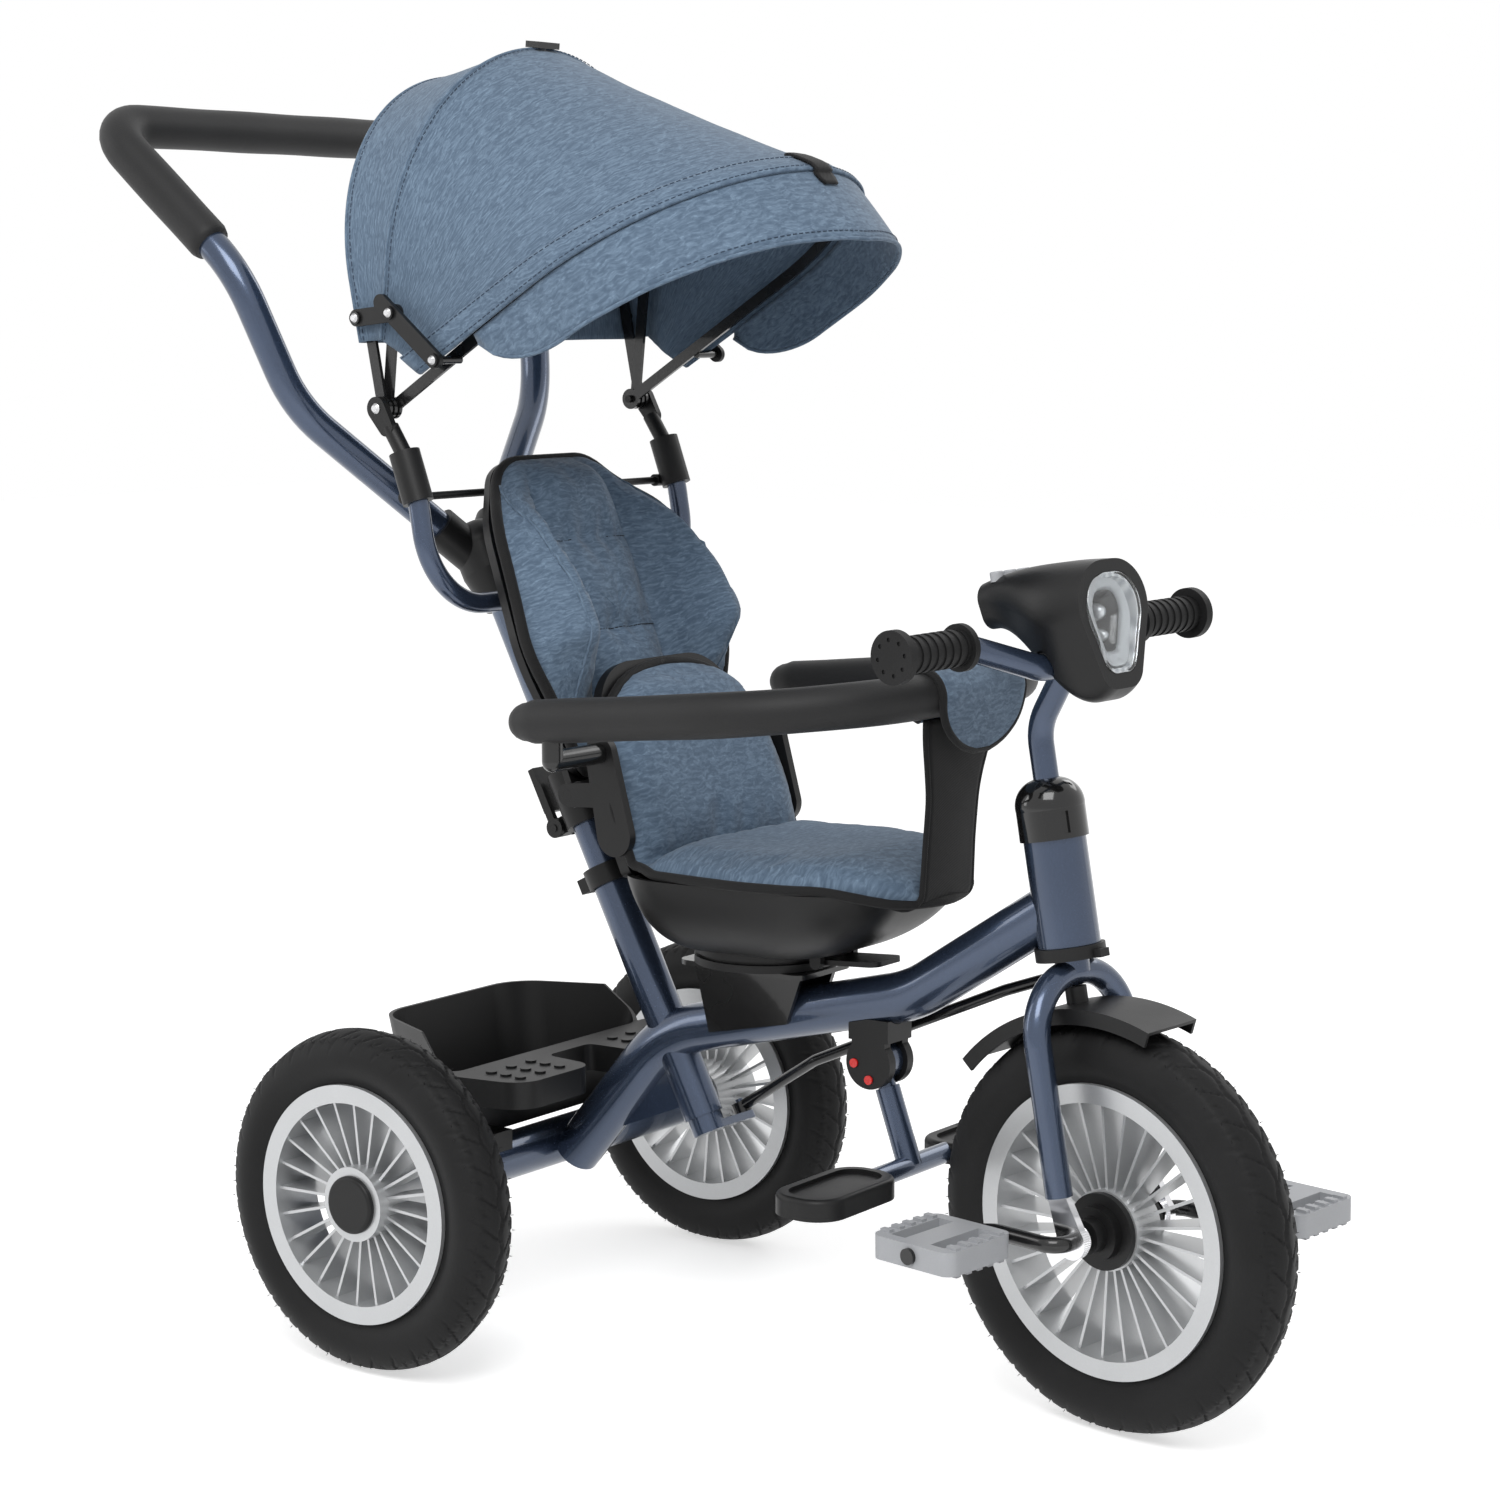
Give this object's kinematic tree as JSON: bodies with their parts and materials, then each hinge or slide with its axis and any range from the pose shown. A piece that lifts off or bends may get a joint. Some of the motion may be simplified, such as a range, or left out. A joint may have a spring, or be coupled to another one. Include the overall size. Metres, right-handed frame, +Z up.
{
  "type": "children's tricycle",
  "caption": "Push-along children's tricycle with pedal front wheel, swivel seat, safety bar, folding canopy, steering push handle, folding footrest and rear basket.",
  "frame": {"origin": "on the ground under the middle of the overall length and width", "axes": "+X forward, +Y to the rider's left, +Z up"},
  "size_m": [0.9996, 0.4904, 1.0191],
  "materials": {
    "paint": "gloss metallic",
    "paint_light": "gloss metallic",
    "dark_metal": "satin",
    "steel": "satin",
    "chrome": "polished",
    "black_plastic": "satin",
    "gloss_black": "gloss",
    "silver_plastic": "satin silver",
    "grey_plastic": "satin",
    "red_plastic": "gloss",
    "tyre": "matte",
    "grip_rubber": "matte",
    "foam": "matte",
    "fabric": "melange weave",
    "black_fabric": "webbing",
    "lens": "clear",
    "bright": "polished"
  },
  "bodies": {
    "frame": {"main_frame": "paint", "rear_axle": "steel", "storage_basket": "black_plastic", "head_cap": "gloss_black", "head_bushes": "black_plastic", "seat_bracket": "dark_metal", "socket_collar": "black_plastic", "footrest_block": "black_plastic"},
    "footrest": {"footrest_frame": "paint", "footrest_pads": "black_plastic"},
    "footrest_release": {"footrest_buttons": "red_plastic"},
    "fork_group": {"fork": "paint", "fork_dropouts": "chrome", "headset_ring": "black_plastic", "front_fender": "black_plastic", "handlebar": "paint", "handlebar_grips": "grip_rubber", "lamp_housing": "gloss_black", "lamp_lens": "lens", "lamp_reflector": "bright"},
    "lamp_keypad": {"lamp_keys": "grey_plastic"},
    "front_wheel": {"front_tyre": "tyre", "front_rim": "silver_plastic", "front_hub": "black_plastic", "crankshaft": "dark_metal"},
    "left_pedal": {"pedal_left": "grey_plastic"},
    "right_pedal": {"pedal_right": "grey_plastic"},
    "rear_wheel_left": {"rear_tyre_left": "tyre", "rear_rim_left": "silver_plastic", "rear_hub_cap_left": "black_plastic"},
    "rear_wheel_right": {"rear_tyre_right": "tyre", "rear_rim_right": "silver_plastic", "rear_hub_cap_right": "black_plastic"},
    "handle_lower": {"handle_tube": "paint", "handle_clamp": "black_plastic"},
    "handle_lever": {"clamp_lever": "black_plastic"},
    "handle_upper": {"handle_post": "paint_light", "handle_hub": "black_plastic", "handle_arms": "paint", "handle_foam": "foam"},
    "rod": {"steering_rod": "dark_metal"},
    "seat": {"seat_turntable": "black_plastic", "seat_shell": "black_plastic", "seat_pad": "fabric", "crotch_strap": "black_fabric"},
    "seat_lever": {"seat_release": "black_plastic"},
    "safety_bar": {"safety_bar_tube": "dark_metal", "safety_bar_foam": "foam", "bar_wrap": "fabric"},
    "backrest": {"backrest_shell": "black_plastic", "backrest_pad": "fabric", "canopy_carrier": "paint", "canopy_posts": "black_plastic", "canopy_rear_bow": "dark_metal", "canopy_cover": "fabric"},
    "canopy_mid": {"canopy_mid_bow": "dark_metal"},
    "canopy_front": {"canopy_front_bow": "dark_metal", "canopy_visor": "fabric"},
    "brace_rear": {"brace_links_rear": "black_plastic"},
    "brace_front": {"brace_links_front": "black_plastic"}
  },
  "joints": [
    {"name": "steering", "type": "hinge", "parent": "frame", "child": "fork_group", "pos_m": [0.30939, 0, 0.33484], "axis": [-0.1771, 0, 0.9842], "range_deg": [-15.7, 32.3]},
    {"name": "front_wheel_spin", "type": "hinge", "parent": "fork_group", "child": "front_wheel", "pos_m": [0.34913, -0.00098, 0.15199], "axis": [0.1421, 0.9895, 0.0256], "continuous": true},
    {"name": "pedal_left_spin", "type": "hinge", "parent": "front_wheel", "child": "left_pedal", "pos_m": [0.43016, 0.10605, 0.15487], "axis": [0.1421, 0.9895, 0.0256], "continuous": true},
    {"name": "pedal_right_spin", "type": "hinge", "parent": "front_wheel", "child": "right_pedal", "pos_m": [0.2681, -0.10802, 0.1491], "axis": [0.1421, 0.9895, 0.0256], "continuous": true},
    {"name": "rear_left_spin", "type": "hinge", "parent": "frame", "child": "rear_wheel_left", "pos_m": [-0.1828, 0.22, 0.133], "axis": [0, 1, 0], "continuous": true},
    {"name": "rear_right_spin", "type": "hinge", "parent": "frame", "child": "rear_wheel_right", "pos_m": [-0.1828, -0.22, 0.133], "axis": [0, 1, 0], "continuous": true},
    {"name": "handle_turn", "type": "hinge", "parent": "frame", "child": "handle_lower", "pos_m": [-0.0278, 0, 0.1775], "axis": [-0.4587, 0, 0.8886], "range_deg": [-14.8, 30.4]},
    {"name": "rod_swing", "type": "hinge", "parent": "handle_lower", "child": "rod", "pos_m": [-0.02665, 0.048, 0.17528], "axis": [-0.4587, 0, 0.8886], "range_deg": [-32, 15.6]},
    {"name": "handle_slide", "type": "slide", "parent": "handle_lower", "child": "handle_upper", "axis": [-0.4587, 0, 0.8886], "range_m": [-0.06, 0.04]},
    {"name": "clamp_open", "type": "hinge", "parent": "handle_lower", "child": "handle_lever", "pos_m": [-0.16925, 0, 0.39596], "axis": [0, -1, 0], "range_deg": [0, 100]},
    {"name": "seat_swivel", "type": "hinge", "parent": "frame", "child": "seat", "pos_m": [0.0322, 0, 0.31], "axis": [0, 0, 1], "range_deg": [-120, 120]},
    {"name": "seat_release_lift", "type": "hinge", "parent": "seat", "child": "seat_lever", "pos_m": [0.0972, 0, 0.3193], "axis": [0, -1, 0], "range_deg": [0, 8]},
    {"name": "safety_bar_lift", "type": "hinge", "parent": "seat", "child": "safety_bar", "pos_m": [-0.0428, 0, 0.478], "axis": [0, -1, 0], "range_deg": [0, 75]},
    {"name": "backrest_recline", "type": "hinge", "parent": "seat", "child": "backrest", "pos_m": [-0.08462, 0, 0.44087], "axis": [0, -1, 0], "range_deg": [0, 10]},
    {"name": "canopy_fold", "type": "hinge", "parent": "backrest", "child": "canopy_front", "pos_m": [-0.2148, 0, 0.7355], "axis": [0, -1, 0], "range_deg": [0, 50], "deforming": ["canopy_cover"]},
    {"name": "canopy_mid_turn", "type": "hinge", "parent": "backrest", "child": "canopy_mid", "pos_m": [-0.2148, 0, 0.7355], "axis": [0, -1, 0], "range_deg": [0, 12.6]},
    {"name": "brace_rear_turn", "type": "hinge", "parent": "backrest", "child": "brace_rear", "pos_m": [-0.2288, 0, 0.804], "axis": [0, -1, 0], "range_deg": [0, 117]},
    {"name": "brace_front_turn", "type": "hinge", "parent": "brace_rear", "child": "brace_front", "pos_m": [-0.1898, 0, 0.808], "axis": [0, -1, 0], "range_deg": [-105, 0]},
    {"name": "footrest_fold", "type": "hinge", "parent": "frame", "child": "footrest", "pos_m": [0.1402, 0, 0.246], "axis": [0, 1, 0], "range_deg": [0, 86]},
    {"name": "footrest_press", "type": "slide", "parent": "frame", "child": "footrest_release", "axis": [0, 1, 0], "range_m": [0, 0.0012], "stiffness_N_per_m": 900},
    {"name": "lamp_key_press", "type": "slide", "parent": "fork_group", "child": "lamp_keypad", "axis": [0.1771, 0, -0.9842], "range_m": [0, 0.0015], "stiffness_N_per_m": 900}
  ],
  "couplings": [
    {"joint": "handle_turn", "follows": "steering", "ratio": 0.94},
    {"joint": "rod_swing", "follows": "steering", "ratio": -0.99},
    {"joint": "canopy_mid_turn", "follows": "canopy_fold", "ratio": 0.25},
    {"joint": "brace_rear_turn", "follows": "canopy_fold", "ratio": 2.33},
    {"joint": "brace_front_turn", "follows": "canopy_fold", "ratio": -2.08}
  ]
}
